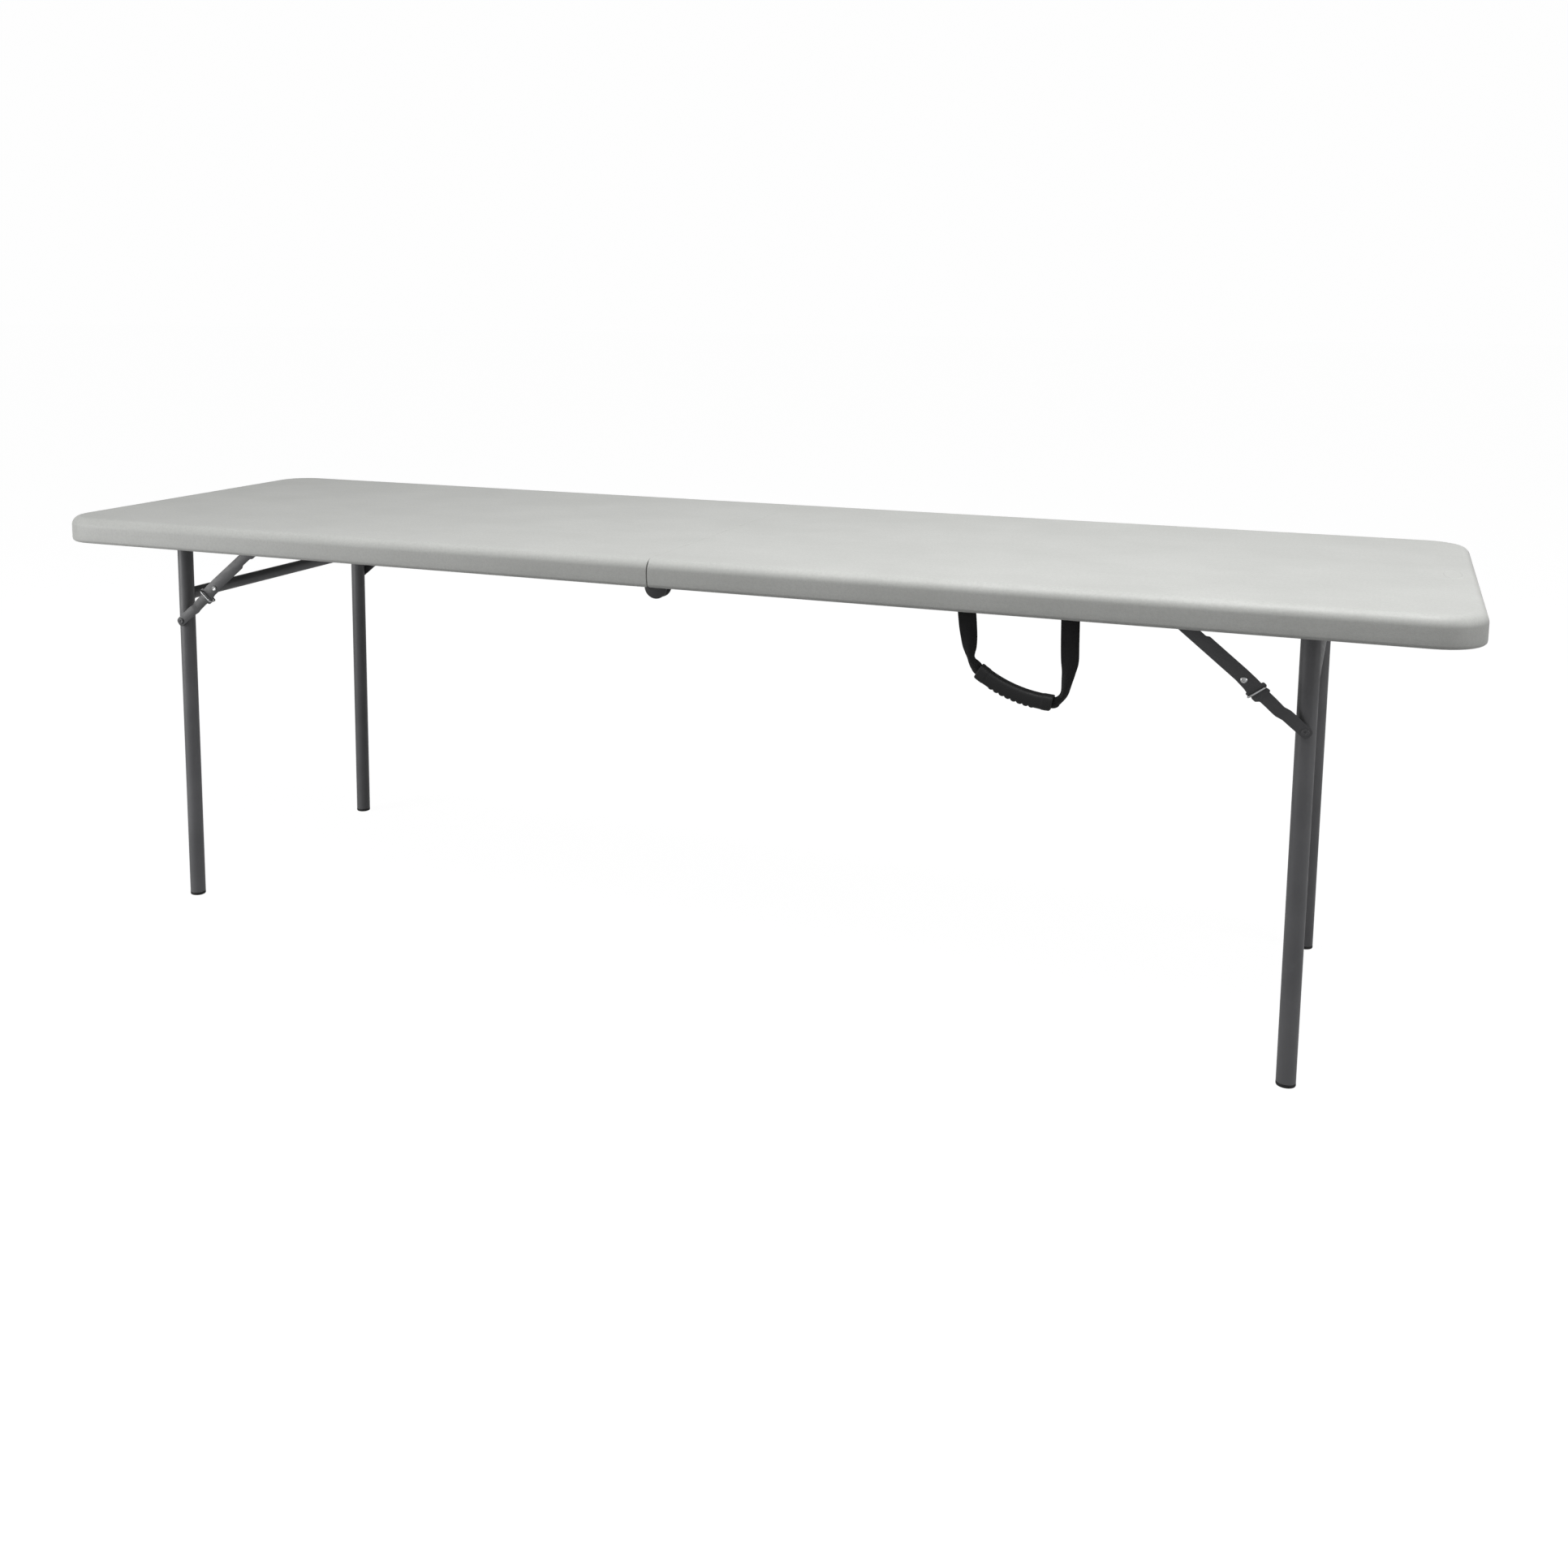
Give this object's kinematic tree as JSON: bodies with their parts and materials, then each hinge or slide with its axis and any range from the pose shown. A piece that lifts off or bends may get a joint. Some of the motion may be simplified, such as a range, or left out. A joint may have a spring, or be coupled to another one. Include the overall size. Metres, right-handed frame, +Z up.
{
  "type": "folding table",
  "caption": "Fold-in-half rectangular folding table with a moulded plastic top, folding steel leg frames, locking braces and a strap carrying handle.",
  "frame": {"origin": "on the floor, under the centre of the opened table", "axes": "+X along the length of the top, -Y towards the side with the carrying handle, +Z up"},
  "size_m": [2.44, 0.76, 0.737],
  "materials": {
    "hdpe": "fine pebble grain, satin",
    "powder_coated_steel": "satin charcoal powder coat",
    "zinc": "bright zinc plate",
    "black_rubber": "matt moulded rubber",
    "webbing": "woven polypropylene webbing"
  },
  "bodies": {
    "left_half": {"left_top": "hdpe", "left_front_rail": "powder_coated_steel", "left_front_hinge_leaf": "powder_coated_steel", "left_front_brace_rail_pin": "zinc", "left_rear_rail": "powder_coated_steel", "left_rear_hinge_leaf": "powder_coated_steel", "left_rear_brace_rail_pin": "zinc"},
    "hinge_links": {"front_hinge_cheek_outer": "powder_coated_steel", "front_hinge_cheek_inner": "powder_coated_steel", "left_front_hinge_pin": "zinc", "right_front_hinge_pin": "zinc", "rear_hinge_cheek_outer": "powder_coated_steel", "rear_hinge_cheek_inner": "powder_coated_steel", "left_rear_hinge_pin": "zinc", "right_rear_hinge_pin": "zinc"},
    "right_half": {"right_top": "hdpe", "handle_anchor_left": "powder_coated_steel", "handle_anchor_right": "powder_coated_steel", "right_front_rail": "powder_coated_steel", "right_front_hinge_leaf": "powder_coated_steel", "right_front_brace_rail_pin": "zinc", "right_rear_rail": "powder_coated_steel", "right_rear_hinge_leaf": "powder_coated_steel", "right_rear_brace_rail_pin": "zinc"},
    "left_leg_frame": {"left_pivot_bar": "powder_coated_steel", "left_crossbar": "powder_coated_steel", "left_front_leg": "powder_coated_steel", "left_front_foot": "black_rubber", "left_rear_leg": "powder_coated_steel", "left_rear_foot": "black_rubber"},
    "left_front_upper_link": {"left_front_brace_upper_link": "powder_coated_steel", "left_front_brace_elbow_rivet": "zinc"},
    "left_front_lower_link": {"left_front_brace_lower_link": "powder_coated_steel", "left_front_brace_leg_rivet": "powder_coated_steel"},
    "left_front_lock_ring": {"left_front_brace_lock_ring": "zinc"},
    "left_rear_upper_link": {"left_rear_brace_upper_link": "powder_coated_steel", "left_rear_brace_elbow_rivet": "zinc"},
    "left_rear_lower_link": {"left_rear_brace_lower_link": "powder_coated_steel", "left_rear_brace_leg_rivet": "powder_coated_steel"},
    "left_rear_lock_ring": {"left_rear_brace_lock_ring": "zinc"},
    "right_leg_frame": {"right_pivot_bar": "powder_coated_steel", "right_crossbar": "powder_coated_steel", "right_front_leg": "powder_coated_steel", "right_front_foot": "black_rubber", "right_rear_leg": "powder_coated_steel", "right_rear_foot": "black_rubber"},
    "right_front_upper_link": {"right_front_brace_upper_link": "powder_coated_steel", "right_front_brace_elbow_rivet": "zinc"},
    "right_front_lower_link": {"right_front_brace_lower_link": "powder_coated_steel", "right_front_brace_leg_rivet": "powder_coated_steel"},
    "right_front_lock_ring": {"right_front_brace_lock_ring": "zinc"},
    "right_rear_upper_link": {"right_rear_brace_upper_link": "powder_coated_steel", "right_rear_brace_elbow_rivet": "zinc"},
    "right_rear_lower_link": {"right_rear_brace_lower_link": "powder_coated_steel", "right_rear_brace_leg_rivet": "powder_coated_steel"},
    "right_rear_lock_ring": {"right_rear_brace_lock_ring": "zinc"},
    "handle": {"handle_strap": "webbing", "handle_grip": "black_rubber"}
  },
  "joints": [
    {"name": "fold_hinge_left", "type": "hinge", "parent": "left_half", "child": "hinge_links", "pos_m": [-0.009, 0, 0.687], "axis": [0, 1, 0], "range_deg": [0, 90]},
    {"name": "fold_hinge_right", "type": "hinge", "parent": "hinge_links", "child": "right_half", "pos_m": [0.009, 0, 0.687], "axis": [0, 1, 0], "range_deg": [0, 90]},
    {"name": "left_leg_fold", "type": "hinge", "parent": "left_half", "child": "left_leg_frame", "pos_m": [-0.995, 0, 0.7055], "axis": [0, -1, 0], "range_deg": [0, 90]},
    {"name": "left_front_upper_link_turn", "type": "hinge", "parent": "left_half", "child": "left_front_upper_link", "pos_m": [-0.794, -0.3125, 0.7055], "axis": [0, 1, 0], "range_deg": [0, 39.3]},
    {"name": "left_front_elbow_turn", "type": "hinge", "parent": "left_front_upper_link", "child": "left_front_lower_link", "pos_m": [-0.9086, -0.3125, 0.6117], "axis": [0, -1, 0], "range_deg": [0, 180]},
    {"name": "left_front_lock_ring_slide", "type": "slide", "parent": "left_front_upper_link", "child": "left_front_lock_ring", "axis": [0.7739, 0, 0.6333], "range_m": [0, 0.1581]},
    {"name": "left_rear_upper_link_turn", "type": "hinge", "parent": "left_half", "child": "left_rear_upper_link", "pos_m": [-0.794, 0.3125, 0.7055], "axis": [0, 1, 0], "range_deg": [0, 39.3]},
    {"name": "left_rear_elbow_turn", "type": "hinge", "parent": "left_rear_upper_link", "child": "left_rear_lower_link", "pos_m": [-0.9086, 0.3125, 0.6117], "axis": [0, -1, 0], "range_deg": [0, 180]},
    {"name": "left_rear_lock_ring_slide", "type": "slide", "parent": "left_rear_upper_link", "child": "left_rear_lock_ring", "axis": [0.7739, 0, 0.6333], "range_m": [0, 0.1581]},
    {"name": "right_leg_fold", "type": "hinge", "parent": "right_half", "child": "right_leg_frame", "pos_m": [0.995, 0, 0.7055], "axis": [0, 1, 0], "range_deg": [0, 90]},
    {"name": "right_front_upper_link_turn", "type": "hinge", "parent": "right_half", "child": "right_front_upper_link", "pos_m": [0.794, -0.3125, 0.7055], "axis": [0, -1, 0], "range_deg": [0, 39.3]},
    {"name": "right_front_elbow_turn", "type": "hinge", "parent": "right_front_upper_link", "child": "right_front_lower_link", "pos_m": [0.9086, -0.3125, 0.6117], "axis": [0, 1, 0], "range_deg": [0, 180]},
    {"name": "right_front_lock_ring_slide", "type": "slide", "parent": "right_front_upper_link", "child": "right_front_lock_ring", "axis": [-0.7739, 0, 0.6333], "range_m": [0, 0.1581]},
    {"name": "right_rear_upper_link_turn", "type": "hinge", "parent": "right_half", "child": "right_rear_upper_link", "pos_m": [0.794, 0.3125, 0.7055], "axis": [0, -1, 0], "range_deg": [0, 39.3]},
    {"name": "right_rear_elbow_turn", "type": "hinge", "parent": "right_rear_upper_link", "child": "right_rear_lower_link", "pos_m": [0.9086, 0.3125, 0.6117], "axis": [0, 1, 0], "range_deg": [0, 180]},
    {"name": "right_rear_lock_ring_slide", "type": "slide", "parent": "right_rear_upper_link", "child": "right_rear_lock_ring", "axis": [-0.7739, 0, 0.6333], "range_m": [0, 0.1581]},
    {"name": "handle_swing", "type": "hinge", "parent": "right_half", "child": "handle", "pos_m": [0.589, -0.349, 0.688], "axis": [-1, 0, 0], "range_deg": [-75, 90]}
  ],
  "couplings": [
    {"joint": "left_front_upper_link_turn", "follows": "left_leg_fold", "ratio": 0.43659},
    {"joint": "left_front_elbow_turn", "follows": "left_leg_fold", "ratio": 2},
    {"joint": "left_front_lock_ring_slide", "follows": "left_leg_fold", "m_per_rad": 0.10059},
    {"joint": "left_rear_upper_link_turn", "follows": "left_leg_fold", "ratio": 0.43659},
    {"joint": "left_rear_elbow_turn", "follows": "left_leg_fold", "ratio": 2},
    {"joint": "left_rear_lock_ring_slide", "follows": "left_leg_fold", "m_per_rad": 0.10059},
    {"joint": "right_front_upper_link_turn", "follows": "right_leg_fold", "ratio": 0.43659},
    {"joint": "right_front_elbow_turn", "follows": "right_leg_fold", "ratio": 2},
    {"joint": "right_front_lock_ring_slide", "follows": "right_leg_fold", "m_per_rad": 0.10059},
    {"joint": "right_rear_upper_link_turn", "follows": "right_leg_fold", "ratio": 0.43659},
    {"joint": "right_rear_elbow_turn", "follows": "right_leg_fold", "ratio": 2},
    {"joint": "right_rear_lock_ring_slide", "follows": "right_leg_fold", "m_per_rad": 0.10059}
  ]
}
